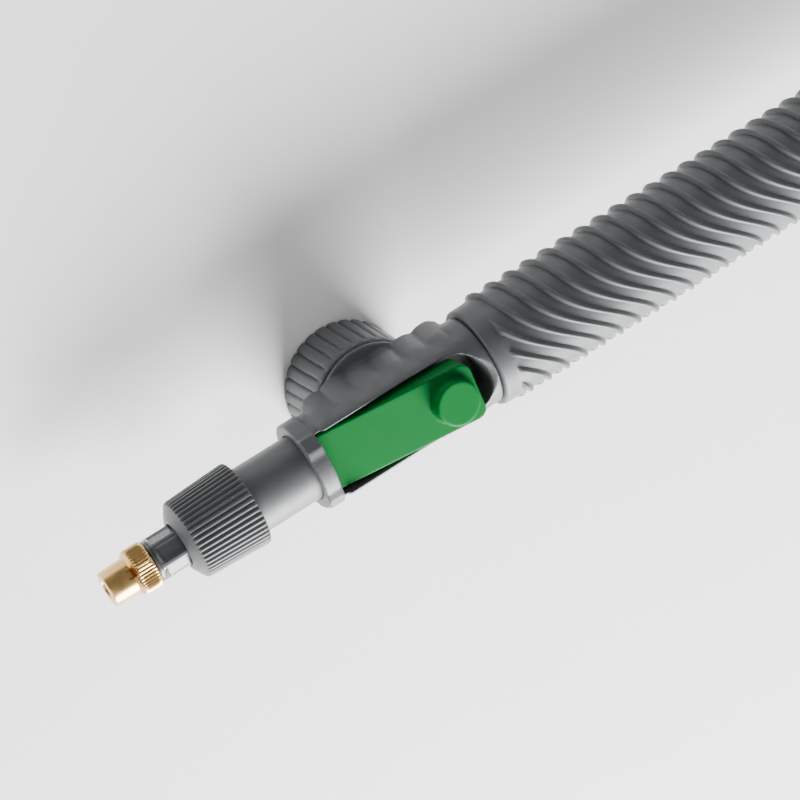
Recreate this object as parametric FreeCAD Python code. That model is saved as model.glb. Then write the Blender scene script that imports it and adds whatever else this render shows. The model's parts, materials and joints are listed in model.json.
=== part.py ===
"""Hand-pumped trombone sprayer head that screws onto a drink bottle.

Frame: millimetres, +Z up. The origin is the centre of the bottle cap's mouth. The bottle hangs
below it, the spray body lies along X above it, the nozzle points to -X and the pump grip to +X.
"""
import FreeCAD, Part
import math
import os

V = FreeCAD.Vector

# ---- clearances -------------------------------------------------------------------------
RUN = 0.05          # radial clearance of a turning or sliding fit
SEAT = 0.02         # radial clearance of a fixed piece in its seat
FREE = 0.3          # gap between pieces that move apart

# ---- body axis and bottle cap -----------------------------------------------------------
AXIS_Z = 29.5                  # spray body axis above the cap's mouth
CAP_H = 18.4                   # cap height
THREAD_R = 12.9                # crest radius of the 28 mm bottle thread
CAP_R_MOUTH = THREAD_R + 4.3   # cap radius over its ribs at the mouth
CAP_R_TOP = CAP_R_MOUTH - 0.8  # cap radius over its ribs near the top
CAP_EDGE = 1.2                 # bevel round the cap's top
CAP_WALL_TOP = 2.0             # thickness of the cap's top wall
CAP_RIBS = 30
CAP_GROOVE_W = 0.9             # width of the groove between two cap ribs
CAP_GROOVE_D = 0.5
THREAD_L = 11.6                # threaded length from the mouth
THREAD_PITCH = 2.7
THREAD_D = 1.1                 # depth of the thread groove
THREAD_START = 1.62            # middle of the first thread groove above the mouth
THREAD_FOOT = 1.03             # half width of the thread groove at its foot
RELIEF_R = THREAD_R + 1.3      # inside of the cap above the thread
RELIEF_STEP = 0.2              # from the end of the thread to the gasket
GASKET_T = 1.6
GASKET_HOLE_R = 7.0

# ---- spigot that carries the cap --------------------------------------------------------
SPIGOT_R = 8.0                 # neck that the cap turns on
SPIGOT_FLANGE_R = RELIEF_R - 2.4
DIP_R = 3.1                    # socket for the dip tube
DIP_DEPTH = 6.5
PLUG_R = 5.2                   # upper plug that seats in the housing
PLUG_TOP = AXIS_Z - 5.7        # height of the plug's end
DISC_R = CAP_R_TOP - 0.6       # disc of the housing above the cap
PEDESTAL_R = 11.0              # round foot between the disc and the housing
DISC_GAP = 0.5                 # gap between cap and disc
DISC_T = 1.4

# ---- inlet valve ------------------------------------------------------------------------
INLET_BALL_R = 1.9
INLET_HOLE_R = 1.4
CAGE_R = 3.0                   # outside of the inlet valve's cage
CAGE_BORE_R = 2.3
CAGE_FLOOR = 0.8
CAGE_WEB = 0.5                 # spigot web under the cage
BALL_SEAT = 0.01               # clearance of a closed ball in its seat

# ---- housing ----------------------------------------------------------------------------
BODY_R = 12.2
BODY_FRONT = -28.0
BODY_REAR = 26.0
NECK_R = BODY_R + 0.2          # rear neck next to the grip
NECK_L = 4.5
FLANGE_L = 4.5                 # front flange, which is also the pocket's front wall
FLANGE_TOP = 10.6              # height of its flat top above the body axis
FLANGE_HALF = 7.5              # half width of the flat top
FLANGE_CORNER = 2.8            # bevel at each end of the flat top
BLOCK_DEPTH = 10.0             # bottom of the finger block below the body axis
BLOCK_NOSE = 7.0               # slope length under the front of the block
BLOCK_TAIL = 3.0
BLOCK_LEAD = 1.0               # how far the block may reach past its end columns
BLOCK_CHIN = 2.0               # height of the knee in the slope under the front
FINGER_PITCH = 7.2
FINGER_COUNT = 6
FINGER_FIRST = -17.6           # first finger column
FINGER_D = 0.9                 # depth of the valleys between columns
FINGER_R = BODY_R + 0.3        # crest of the columns
FINGER_LEAN = 1.2              # how far the columns' feet lie behind their tops
FINGER_FADE = 1.6              # how far the smooth upper side is centred above the body axis
POCKET_HALF = BODY_R - 2.9
POCKET_REAR = 24.3
POCKET_FLOOR = 0.5             # floor above the body axis
POCKET_FLARE = 1.3             # bevel round the pocket's rear rim
CHANNEL_Z = -3.5               # liquid channel below the body axis
CHANNEL_R = 1.6
GATE_R = 1.0                   # channel where the spray valve crosses it
BOSS_END = 37.5                # end of the boss that holds the pump tube

# ---- trigger ----------------------------------------------------------------------------
LEVER_HALF = POCKET_HALF - 1.2
LEVER_FRONT = -22.9
LEVER_REAR = 18.7
LEVER_TOP_FRONT = 5.7          # top of the lever above the body axis, at its front
LEVER_TOP_REAR = 14.5
LEVER_FOOT_FRONT = 0.7         # foot of its side walls above the body axis, at its front
LEVER_FOOT_REAR = 7.5
LEVER_SKIN = 1.8               # thickness of its top and walls
LEVER_CORNER = 2.8
PIVOT_X = -19.0
PIVOT_Z = 3.2                  # above the body axis
PIVOT_R = 1.25                 # trigger pin
PIVOT_EYE_R = 2.4
PIN_HALF = BODY_R - 1.2
THUMB_X = 11.7                 # round boss that the thumb presses
THUMB_R = 6.0
THUMB_TOP = 16.6               # top of the thumb boss above the body axis
THUMB_FILLET = 0.4
SPRING_X = 4.0                 # trigger spring
SPRING_R = 2.6
SPRING_WIRE = 0.35
SPRING_TURNS = 5
PEG_R = 1.9                    # pegs that centre the spring
PEG_H = 1.5
PEG_ROOT = 0.5                 # how far the lever's peg reaches into its top

# ---- spray valve ------------------------------------------------------------------------
VALVE_X = -9.0
VALVE_R = 3.0
VALVE_BOSS_R = 5.0
VALVE_BOSS_H = 2.4             # boss above the pocket floor
VALVE_BOTTOM = -7.0            # foot of the plunger, from the body axis
VALVE_ROOM = 2.0               # depth of the bore under the plunger
WAIST_LOW = -2.3
WAIST_HIGH = 0.2
WAIST_R = 1.7
ORING_WIRE = 0.7               # thickness of the small O-rings
ORING_ROOM = 0.03              # side clearance of a small O-ring in its groove
VENT_R = 0.6

# ---- front tube, outlet valve and stem --------------------------------------------------
TUBE_R = 9.05
TUBE_BORE_R = 5.0
TUBE_NOSE_BORE_R = 3.0
TUBE_SOCKET = 3.0              # how far the front tube sits in the housing
TUBE_NOSE = -57.5
TUBE_REST = 1.0                # from the outlet seat to the tube's rear end
OUTLET_SEAT_T = 3.0
OUTLET_HOLE_R = 1.5
OUTLET_BALL_R = 2.2
OUTLET_CAGE_L = 11.0
OUTLET_CAGE_END = 1.2          # front wall of the cage
OUTLET_CAGE_BORE_R = 2.6
OUTLET_SPRING_R = 1.9
OUTLET_WIRE = 0.25
OUTLET_TURNS = 6
STEM_R = 5.8
STEM_CORE_R = 4.9
STEM_FRONT = -73.2
STEM_RING = 2.0
STEM_RIBS = 6
STEM_RIB_W = 1.7
STEM_SHANK = 1.5               # how far the ribs run into the nut
STEM_BORE_R = 1.8
STEM_FLANGE_R = 8.3
STEM_FLANGE_T = 2.3
STEM_GASKET_T = 1.4
STEM_TAIL = 6.0                # stem length inside the front tube
TIP_R = 3.6                    # threaded tip that carries the nozzle
TIP_L = 7.3
SWIRL_R = 2.1
SWIRL_HEAD_R = 2.9
SWIRL_HEAD_T = 1.8
SWIRL_L = 4.5
SWIRL_SLOT_W = 1.0
SWIRL_SLOT_D = 0.6
SWIRL_SLOTS = 3

# ---- collar nut -------------------------------------------------------------------------
NUT_FRONT = -64.9
NUT_L = 20.0
NUT_NOSE_R = 7.5
NUT_SHOULDER_R = 10.9
NUT_SHOULDER_L = 2.9
NUT_REAR_R = 11.7
NUT_RIBS = 48
NUT_GROOVE_D = 0.35
NUT_GROOVE_W = 0.6
NUT_WALL = 2.0
NUT_EDGE = 0.5                 # bevel at its rear and step at its nose
NUT_KNEE = 1.4                 # where the round shoulder turns into the slope
WASHER_T = 1.1

# ---- nozzle -----------------------------------------------------------------------------
NOZZLE_FRONT = -86.2
NOZZLE_TIP_R = 4.9
NOZZLE_TIP_L = 6.9
KNURL_R = 6.15
KNURL_COUNT = 44
KNURL_D = 0.3
NOZZLE_EDGE = 0.5
ORIFICE_R = 0.4
ORIFICE_L = 1.8
NOZZLE_CONE = 1.6
NOZZLE_RING_X = 1.4            # O-ring groove from the nozzle's rear face
NOZZLE_RING_T = 0.8
CHAMBER_GAP = 0.4              # gap round the swirl core's head

# ---- pump -------------------------------------------------------------------------------
PUMP_R = 7.0
PUMP_BORE_R = PUMP_R - 2.0
PUMP_SOCKET = 11.0             # how far the pump tube sits in its boss
PUMP_SEAL_T = 1.2              # O-ring of the pump tube in its boss
BOSS_R = PUMP_R + 3.0          # boss that holds the pump tube
BARREL_R = PUMP_R + 3.0
BARREL_OUT_R = BARREL_R + 2.0
BARREL_FRONT = 41.5
BARREL_REAR = 214.0
PISTON_R = BARREL_R - 0.4
PISTON_L = 10.0
PISTON_SKIRT = 12.0            # length of the piston's stub in the pump tube
PISTON_WALL = 2.0
PISTON_RING_T = 1.6
END_PLUG_L = 6.0               # end cap's plug in the barrel
END_ROOM = 4.0                 # from the closed pump's piston to the plug
PISTON_X = BARREL_REAR - END_PLUG_L - END_ROOM - PISTON_L
GLAND_L = 10.0
GLAND_FLANGE = 2.0
WIPER_T = 1.6

# ---- grip -------------------------------------------------------------------------------
GRIP_GAP = 0.1                 # gap between housing and closed grip
GRIP_COLLAR_R = BARREL_OUT_R + 1.9
GRIP_COLLAR_L = 4.5
GRIP_R = BARREL_OUT_R + 2.1
RIB_R = BARREL_OUT_R + 3.3
RIB_ROOT = 0.5                 # how far a rib reaches into the grip
RIB_W = 2.3
RIB_PITCH = 5.85
RIB_FIRST = 33.0               # where the first full rib crosses the grip's side
RIB_SWEEP = 10.24              # how far a rib leans forward from the side to the top
GRIP_TAIL = 8.0                # plain length at the grip's rear
END_CAP_R = RIB_R - 0.3
END_CAP_T = 4.5
END_SEAL_T = 1.5
ROUNDING = 0.6                 # share of an edge's height that is rounded


# ---- shape helpers ----------------------------------------------------------------------
def rod(axis, radius, start, length, x=0.0, y=0.0, z=0.0):
    """A cylinder along "x", "y" or "z" that begins at start on that axis."""
    base = {"x": V(start, y, z), "y": V(x, start, z), "z": V(x, y, start)}[axis]
    way = {"x": V(1, 0, 0), "y": V(0, 1, 0), "z": V(0, 0, 1)}[axis]
    return Part.makeCylinder(radius, length, base, way)


def on_axis(radius, x0, x1):
    """A cylinder on the spray body's axis from x0 to x1."""
    return rod("x", radius, x0, x1 - x0, z=AXIS_Z)


def ring_on_axis(outer, inner, x0, x1):
    return on_axis(outer, x0, x1).cut(on_axis(inner, x0, x1))


def upright(radius, z0, z1, x=0.0, y=0.0):
    return rod("z", radius, z0, z1 - z0, x=x, y=y)


def ring_upright(outer, inner, z0, z1, x=0.0):
    return upright(outer, z0, z1, x).cut(upright(inner, z0, z1, x))


def block(x0, x1, y0, y1, z0, z1):
    return Part.makeBox(x1 - x0, y1 - y0, z1 - z0, V(x0, y0, z0))


def turned_on_axis(points):
    """Turn (x, radius) points about the spray body's axis."""
    wire = Part.makePolygon([V(x, 0, AXIS_Z + r) for x, r in points + points[:1]])
    return Part.Face(wire).revolve(V(0, 0, AXIS_Z), V(1, 0, 0), 360)


def turned_upright(points, x=0.0):
    """Turn (radius, z) points about the upright line at x."""
    wire = Part.makePolygon([V(x + r, 0, z) for r, z in points + points[:1]])
    return Part.Face(wire).revolve(V(x, 0, 0), V(0, 0, 1), 360)


def side_prism(points, half):
    """A prism across Y, to half on each side, from (x, z above the body axis) points."""
    wire = Part.makePolygon([V(x, -half, AXIS_Z + z) for x, z in points + points[:1]])
    return Part.Face(wire).extrude(V(0, 2 * half, 0))


def joined(shapes):
    whole = shapes[0].fuse(shapes[1:]) if len(shapes) > 1 else shapes[0]
    return whole.removeSplitter()


def ball(radius, x, z):
    return Part.makeSphere(radius, V(x, 0, z))


def coil(radius, wire, length, turns):
    """A coil spring along +Z from the origin, with one flat turn at each end."""
    lift = length - 2 * wire
    body = Part.makeHelix(lift / turns, lift, radius)
    body.translate(V(0, 0, wire))
    edge = body.Edges[0]
    start = edge.valueAt(edge.FirstParameter)
    way = edge.tangentAt(edge.FirstParameter)
    section = Part.Wire(Part.makeCircle(wire, start, way))
    return Part.Wire(body.Edges).makePipeShell([section], True, True)


# ---- bottle side ------------------------------------------------------------------------
def cap_groove(turn):
    """The cutter for one groove between two ribs of the cap, leaning with the cap's side."""
    lean = math.degrees(math.atan((CAP_R_MOUTH - CAP_R_TOP) / (CAP_H - CAP_EDGE)))
    cutter = Part.makeBox(3, CAP_GROOVE_W, CAP_H + 4, V(0, -CAP_GROOVE_W / 2, -2))
    cutter.rotate(V(0, 0, 0), V(0, 1, 0), -lean)
    cutter.translate(V(CAP_R_MOUTH - CAP_GROOVE_D, 0, 0))
    cutter.rotate(V(0, 0, 0), V(0, 0, 1), turn)
    return cutter


def thread_groove(level):
    """The cutter for one turn of the bottle thread, as a plain ring groove."""
    inner = THREAD_R - THREAD_D / 2
    outer = THREAD_R + THREAD_D
    foot = THREAD_FOOT
    return turned_upright([(inner, level - foot), (THREAD_R, level - foot),
                           (outer, level - foot / 2), (outer, level + foot / 2),
                           (THREAD_R, level + foot), (inner, level + foot)])


def make_bottle_cap():
    top = CAP_H - CAP_EDGE
    shell = turned_upright([(0, 0), (CAP_R_MOUTH, 0), (CAP_R_TOP, top),
                            (CAP_R_TOP - CAP_EDGE, CAP_H), (0, CAP_H)])
    roof = CAP_H - CAP_WALL_TOP
    tools = [upright(THREAD_R, -1, THREAD_L + 0.1), upright(RELIEF_R, THREAD_L, roof),
             upright(SPIGOT_R + FREE, roof - 1, CAP_H + 1)]
    level = THREAD_START
    while level + THREAD_PITCH / 2 < THREAD_L:
        tools.append(thread_groove(level))
        level += THREAD_PITCH
    tools += [cap_groove(360 / CAP_RIBS * i) for i in range(CAP_RIBS)]
    return shell.cut(tools)


def flange_bottom():
    """Underside of the spigot's lower flange, which rests on the gasket."""
    return THREAD_L + RELIEF_STEP + GASKET_T


def make_bottle_gasket():
    low = flange_bottom() - GASKET_T
    return ring_upright(RELIEF_R - FREE, GASKET_HOLE_R, low, low + GASKET_T)


def disc_bottom():
    return CAP_H + DISC_GAP


def cage_bottom():
    return flange_bottom() + DIP_DEPTH + CAGE_WEB


def make_bottle_spigot():
    low = flange_bottom()
    flange = upright(SPIGOT_FLANGE_R, low, CAP_H - CAP_WALL_TOP - FREE)
    neck = upright(SPIGOT_R, low, disc_bottom())
    plug = upright(PLUG_R - SEAT, low, PLUG_TOP)
    tools = [upright(DIP_R, low - 1, low + DIP_DEPTH),
             upright(CAGE_R, cage_bottom(), PLUG_TOP + 1),
             upright(CHANNEL_R, low, cage_bottom() + 1)]
    return joined([flange, neck, plug]).cut(tools)


def inlet_ball_z():
    seat = cage_bottom() + CAGE_FLOOR
    return seat + math.sqrt(INLET_BALL_R ** 2 - INLET_HOLE_R ** 2)


def make_inlet_seat():
    low = cage_bottom()
    cage = upright(CAGE_R - SEAT, low, PLUG_TOP)
    cage = cage.cut([upright(CAGE_BORE_R, low + CAGE_FLOOR, PLUG_TOP + 1),
                     upright(INLET_HOLE_R, low - 1, PLUG_TOP)])
    return cage.cut(ball(INLET_BALL_R + BALL_SEAT, 0, inlet_ball_z()))


def make_inlet_ball():
    return ball(INLET_BALL_R, 0, inlet_ball_z())


# ---- housing ----------------------------------------------------------------------------
def finger_outline():
    """The scalloped edge of the finger grip, as arcs from front to rear on the +Y side."""
    half = FINGER_PITCH / 2
    arcs = []
    for i in range(FINGER_COUNT):
        x = FINGER_FIRST + FINGER_PITCH * i
        low = FINGER_R - FINGER_D
        arcs.append(Part.Arc(V(x - half, low, AXIS_Z), V(x, FINGER_R, AXIS_Z),
                             V(x + half, low, AXIS_Z)).toShape())
    return arcs


def finger_face(both_sides):
    """The face inside the scalloped edge: to the body axis, or to its mirror image."""
    arcs = finger_outline()
    x0 = FINGER_FIRST - FINGER_PITCH / 2
    x1 = x0 + FINGER_PITCH * FINGER_COUNT
    low = FINGER_R - FINGER_D
    if both_sides:
        mirrored = [a.mirror(V(0, 0, AXIS_Z), V(0, 1, 0)) for a in arcs]
        edges = arcs + mirrored + [Part.makeLine(V(x0, -low, AXIS_Z), V(x0, low, AXIS_Z)),
                                   Part.makeLine(V(x1, -low, AXIS_Z), V(x1, low, AXIS_Z))]
    else:
        edges = arcs + [Part.makeLine(V(x0, 0, AXIS_Z), V(x0, low, AXIS_Z)),
                        Part.makeLine(V(x1, low, AXIS_Z), V(x1, 0, AXIS_Z)),
                        Part.makeLine(V(x0, 0, AXIS_Z), V(x1, 0, AXIS_Z))]
    return Part.Face(Part.Wire(Part.__sortEdges__(edges)))


def finger_block():
    """Finger columns, straight below the body axis and fading out over its upper half."""
    upper = finger_face(False).revolve(V(0, 0, AXIS_Z), V(1, 0, 0), 180)
    start = FINGER_FIRST - FINGER_PITCH / 2
    run = FINGER_PITCH * FINGER_COUNT
    side_r = math.hypot(FINGER_R - FINGER_D, FINGER_FADE)
    side = rod("x", side_r, start, run, z=AXIS_Z + FINGER_FADE)
    side = side.common(on_axis(FINGER_R, start, start + run))
    side = side.common(block(start, start + run, -DISC_R, DISC_R, AXIS_Z, AXIS_Z + DISC_R))
    deep = BLOCK_DEPTH + 2
    lower = finger_face(True).extrude(V(FINGER_LEAN * deep / BLOCK_DEPTH, 0, -deep))
    x0 = start - BLOCK_LEAD
    x1 = start + run + 2 * BLOCK_LEAD
    knee = x0 + 2 * BLOCK_CHIN
    keep = side_prism([(x0, 1), (x0, -BLOCK_DEPTH + BLOCK_NOSE), (knee, -BLOCK_DEPTH + BLOCK_CHIN),
                       (knee + BLOCK_NOSE, -BLOCK_DEPTH), (x1 - BLOCK_TAIL, -BLOCK_DEPTH),
                       (x1, -BLOCK_DEPTH + BLOCK_TAIL), (x1, 1)], 2 * FINGER_R)
    return [upper, side, lower.common(keep)]


def front_flange():
    """The front wall of the trigger pocket, with a flat top and bevelled corners."""
    low = FLANGE_TOP - FLANGE_CORNER
    points = [(-FLANGE_HALF, FLANGE_TOP), (FLANGE_HALF, FLANGE_TOP),
              (FLANGE_HALF + FLANGE_CORNER, low), (FLANGE_HALF + FLANGE_CORNER, 0),
              (-FLANGE_HALF - FLANGE_CORNER, 0), (-FLANGE_HALF - FLANGE_CORNER, low)]
    wire = Part.makePolygon([V(BODY_FRONT, y, AXIS_Z + z) for y, z in points + points[:1]])
    hood = Part.Face(wire).extrude(V(FLANGE_L, 0, 0))
    rim = on_axis(BODY_R, BODY_FRONT, BODY_FRONT + FLANGE_L)
    above = block(BODY_FRONT - 1, BODY_FRONT + FLANGE_L + 1, -BODY_R, BODY_R,
                  AXIS_Z + FLANGE_TOP, AXIS_Z + 2 * BODY_R)
    return hood.fuse(rim).cut(above)


def pocket():
    """The trough that the trigger lies in, rounded at its rear."""
    floor = AXIS_Z + POCKET_FLOOR
    top = AXIS_Z + 2 * BODY_R
    centre = POCKET_REAR - POCKET_HALF
    trough = block(BODY_FRONT + FLANGE_L, centre, -POCKET_HALF, POCKET_HALF, floor, top)
    flare = Part.makeCone(POCKET_HALF, POCKET_HALF + POCKET_FLARE, POCKET_FLARE,
                          V(centre, 0, AXIS_Z + NECK_R - POCKET_FLARE), V(0, 0, 1))
    return trough.fuse([upright(POCKET_HALF, floor, top, x=centre), flare])


def make_housing():
    barrel = on_axis(BODY_R - FINGER_D / 2, BODY_FRONT, BODY_REAR)
    neck = on_axis(NECK_R, BODY_REAR - NECK_L, BODY_REAR)
    boss = on_axis(BOSS_R, BODY_REAR - NECK_L, BOSS_END)
    disc = upright(DISC_R, disc_bottom(), disc_bottom() + DISC_T)
    pedestal = upright(PEDESTAL_R, disc_bottom(), AXIS_Z)
    below = block(BODY_FRONT + FLANGE_L, BODY_REAR - NECK_L, -DISC_R, DISC_R, 0,
                  AXIS_Z - BLOCK_DEPTH)
    trunk = joined([barrel] + finger_block()).cut(below)
    body = joined([trunk, neck, boss, front_flange(), disc, pedestal])
    valve_boss = upright(VALVE_BOSS_R, AXIS_Z, AXIS_Z + POCKET_FLOOR + VALVE_BOSS_H, x=VALVE_X)
    peg = upright(PEG_R, AXIS_Z, AXIS_Z + POCKET_FLOOR + PEG_H, x=SPRING_X)
    body = body.cut(pocket()).fuse([valve_boss, peg])
    channel_z = AXIS_Z + CHANNEL_Z
    start = BODY_FRONT + TUBE_SOCKET
    valve_floor = AXIS_Z + VALVE_BOTTOM - VALVE_ROOM
    tools = [on_axis(TUBE_R + SEAT, BODY_FRONT - 1, start),
             rod("x", GATE_R, start - 1, VALVE_X - start + 1, z=channel_z),
             rod("x", CHANNEL_R, VALVE_X, BODY_REAR - VALVE_X + 1, z=channel_z),
             on_axis(PUMP_R + SEAT, BOSS_END - PUMP_SOCKET, BOSS_END + 1),
             upright(VALVE_R + RUN, valve_floor, AXIS_Z + BODY_R, x=VALVE_X),
             upright(VENT_R, disc_bottom() - 1, AXIS_Z, x=VALVE_X),
             upright(PLUG_R, disc_bottom() - 1, PLUG_TOP + SEAT),
             upright(CAGE_BORE_R, PLUG_TOP - 1, channel_z),
             rod("y", PIVOT_R + SEAT, -PIN_HALF, 2 * PIN_HALF, x=PIVOT_X, z=AXIS_Z + PIVOT_Z),
             tube_seal_groove()]
    return body.cut(tools).removeSplitter()


# ---- trigger ----------------------------------------------------------------------------
def lever_slope():
    return (LEVER_TOP_REAR - LEVER_TOP_FRONT) / (LEVER_REAR - LEVER_FRONT)


def lever_top(x):
    """Height of the lever's top face above the body axis at x."""
    return LEVER_TOP_FRONT + lever_slope() * (x - LEVER_FRONT)


def lever_foot(x):
    """Height of the foot of the lever's side walls above the body axis at x."""
    slope = (LEVER_FOOT_REAR - LEVER_FOOT_FRONT) / (LEVER_REAR - LEVER_FRONT)
    return LEVER_FOOT_FRONT + slope * (x - LEVER_FRONT)


def lever_slab(half, x0, x1, drop, below):
    """A slab from drop under the lever's top face to below its foot."""
    return side_prism([(x0, lever_top(x0) - drop), (x1, lever_top(x1) - drop),
                       (x1, lever_foot(x1) - below), (x0, lever_foot(x0) - below)], half)


def make_trigger_lever():
    slab = lever_slab(LEVER_HALF, LEVER_FRONT, LEVER_REAR, 0, 0)
    rounds = block(LEVER_FRONT - 1, LEVER_REAR, -LEVER_HALF, LEVER_HALF, 0, 3 * AXIS_Z)
    corners = [e for e in rounds.Edges if abs(e.Vertexes[0].X - LEVER_REAR) < 0.01
               and abs(e.Vertexes[1].X - LEVER_REAR) < 0.01
               and abs(e.Vertexes[0].Z - e.Vertexes[1].Z) > 1]
    slab = slab.common(rounds.makeFillet(LEVER_CORNER, corners))
    hollow = lever_slab(LEVER_HALF - LEVER_SKIN, PIVOT_X + PIVOT_EYE_R,
                        LEVER_REAR - LEVER_SKIN, LEVER_SKIN, 1)
    eye = rod("y", PIVOT_EYE_R, -LEVER_HALF, 2 * LEVER_HALF, x=PIVOT_X, z=AXIS_Z + PIVOT_Z)
    thumb_top = AXIS_Z + THUMB_TOP
    thumb = upright(THUMB_R, AXIS_Z + lever_top(THUMB_X) - LEVER_SKIN, thumb_top, x=THUMB_X)
    top_edge = [e for e in thumb.Edges if abs(e.BoundBox.ZMin - thumb_top) < 0.01]
    thumb = thumb.makeFillet(THUMB_FILLET, top_edge)
    peg_top = AXIS_Z + lever_top(SPRING_X) - LEVER_SKIN
    peg = upright(PEG_R, peg_top - PEG_H, peg_top + PEG_ROOT, x=SPRING_X)
    body = joined([slab.cut(hollow), eye, thumb, peg])
    return body.cut(rod("y", PIVOT_R + RUN, -LEVER_HALF - 1, 2 * LEVER_HALF + 2,
                        x=PIVOT_X, z=AXIS_Z + PIVOT_Z))


def make_trigger_pin():
    return rod("y", PIVOT_R, -PIN_HALF, 2 * PIN_HALF, x=PIVOT_X, z=AXIS_Z + PIVOT_Z)


def make_trigger_spring():
    low = AXIS_Z + POCKET_FLOOR
    reach = SPRING_R + SPRING_WIRE
    room = lever_top(SPRING_X) - LEVER_SKIN - POCKET_FLOOR - lever_slope() * reach
    spring = coil(SPRING_R, SPRING_WIRE, room, SPRING_TURNS)
    spring.translate(V(SPRING_X, 0, low))
    return spring


def plunger_top():
    """Height of the plunger's head above the body axis: just under the lever's top."""
    return lever_top(VALVE_X) - LEVER_SKIN - lever_slope() * WAIST_R - FREE


def seal_levels():
    """The two O-rings of the plunger, above the body axis."""
    high = POCKET_FLOOR + VALVE_BOSS_H - 2 * ORING_WIRE
    return [VALVE_BOTTOM + 2.5 * ORING_WIRE, high - ORING_WIRE / 2]


def seal_groove(level):
    """The outline of one O-ring groove, from its lower edge to its upper edge."""
    groove_r = VALVE_R - ORING_WIRE + RUN
    half = ORING_WIRE / 2 + ORING_ROOM
    return [(VALVE_R, level - half), (groove_r, level - half),
            (groove_r, level + half), (VALVE_R, level + half)]


def make_valve_plunger():
    low, high = seal_levels()
    top = plunger_top()
    neck = POCKET_FLOOR + VALVE_BOSS_H - ORING_WIRE
    points = [(0, VALVE_BOTTOM), (VALVE_R, VALVE_BOTTOM)] + seal_groove(low)
    points += [(VALVE_R, WAIST_LOW), (WAIST_R, WAIST_LOW), (WAIST_R, WAIST_HIGH),
               (VALVE_R, WAIST_HIGH)] + seal_groove(high)
    points += [(VALVE_R, neck), (WAIST_R, neck), (WAIST_R, top), (0, top)]
    return turned_upright([(r, AXIS_Z + z) for r, z in points], x=VALVE_X)


def make_plunger_seals():
    outer = VALVE_R + RUN / 2
    rings = [ring_upright(outer, VALVE_R - ORING_WIRE + RUN, AXIS_Z + z - ORING_WIRE / 2,
                          AXIS_Z + z + ORING_WIRE / 2, x=VALVE_X) for z in seal_levels()]
    return Part.makeCompound(rings)


# ---- front tube and outlet valve --------------------------------------------------------
def tube_rear():
    return BODY_FRONT + TUBE_SOCKET


def seat_front():
    """Front face of the outlet seat, where its ball rests."""
    return tube_rear() - TUBE_REST - OUTLET_SEAT_T


def cage_front():
    return seat_front() - OUTLET_CAGE_L


def make_front_tube():
    tube = on_axis(TUBE_R, TUBE_NOSE, tube_rear())
    return tube.cut([on_axis(TUBE_BORE_R, cage_front(), tube_rear() + 1),
                     on_axis(TUBE_NOSE_BORE_R, TUBE_NOSE - 1, cage_front() + 1)])


def outlet_ball_x():
    return seat_front() - math.sqrt(OUTLET_BALL_R ** 2 - OUTLET_HOLE_R ** 2)


def make_outlet_seat():
    seat = ring_on_axis(TUBE_BORE_R - SEAT, OUTLET_HOLE_R, seat_front(), tube_rear() - TUBE_REST)
    return seat.cut(ball(OUTLET_BALL_R + BALL_SEAT, outlet_ball_x(), AXIS_Z))


def make_outlet_cage():
    cage = ring_on_axis(TUBE_BORE_R - SEAT, OUTLET_HOLE_R, cage_front(), seat_front())
    return cage.cut(on_axis(OUTLET_CAGE_BORE_R, cage_front() + OUTLET_CAGE_END, seat_front() + 1))


def make_outlet_ball():
    return ball(OUTLET_BALL_R, outlet_ball_x(), AXIS_Z)


def make_outlet_spring():
    front = cage_front() + OUTLET_CAGE_END
    reach = outlet_ball_x() - math.sqrt(OUTLET_BALL_R ** 2 - (OUTLET_SPRING_R - OUTLET_WIRE) ** 2)
    spring = coil(OUTLET_SPRING_R, OUTLET_WIRE, reach - front, OUTLET_TURNS)
    spring.rotate(V(0, 0, 0), V(0, 1, 0), 90)
    spring.translate(V(front, 0, AXIS_Z))
    return spring


# ---- stem, nozzle and collar nut --------------------------------------------------------
def flange_rear():
    return TUBE_NOSE - STEM_GASKET_T


def make_stem_gasket():
    return ring_on_axis(STEM_FLANGE_R, TUBE_NOSE_BORE_R, flange_rear(), TUBE_NOSE)


def make_nozzle_stem():
    ring = on_axis(STEM_R, STEM_FRONT, STEM_FRONT + STEM_RING)
    core = on_axis(STEM_CORE_R, STEM_FRONT, flange_rear())
    shank_front = NUT_FRONT + STEM_SHANK
    shank = on_axis(STEM_R, shank_front, flange_rear())
    flange = on_axis(STEM_FLANGE_R, flange_rear() - STEM_FLANGE_T, flange_rear())
    tail = on_axis(TUBE_NOSE_BORE_R - SEAT, flange_rear(), TUBE_NOSE + STEM_TAIL)
    tip = on_axis(TIP_R, STEM_FRONT - TIP_L, STEM_FRONT)
    ribs = []
    for i in range(STEM_RIBS):
        rib = block(STEM_FRONT, shank_front, -STEM_RIB_W / 2, STEM_RIB_W / 2,
                    AXIS_Z, AXIS_Z + 2 * STEM_R)
        rib.rotate(V(0, 0, AXIS_Z), V(1, 0, 0), 360 / STEM_RIBS * (i + 0.5))
        ribs.append(rib.common(on_axis(STEM_R, STEM_FRONT, shank_front)))
    stem = joined([ring, core, shank, flange, tail, tip] + ribs)
    front = STEM_FRONT - TIP_L
    return stem.cut([on_axis(STEM_BORE_R, front - 1, TUBE_NOSE + STEM_TAIL + 1),
                     on_axis(SWIRL_R + SEAT, front - 1, front + SWIRL_L)])


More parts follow.
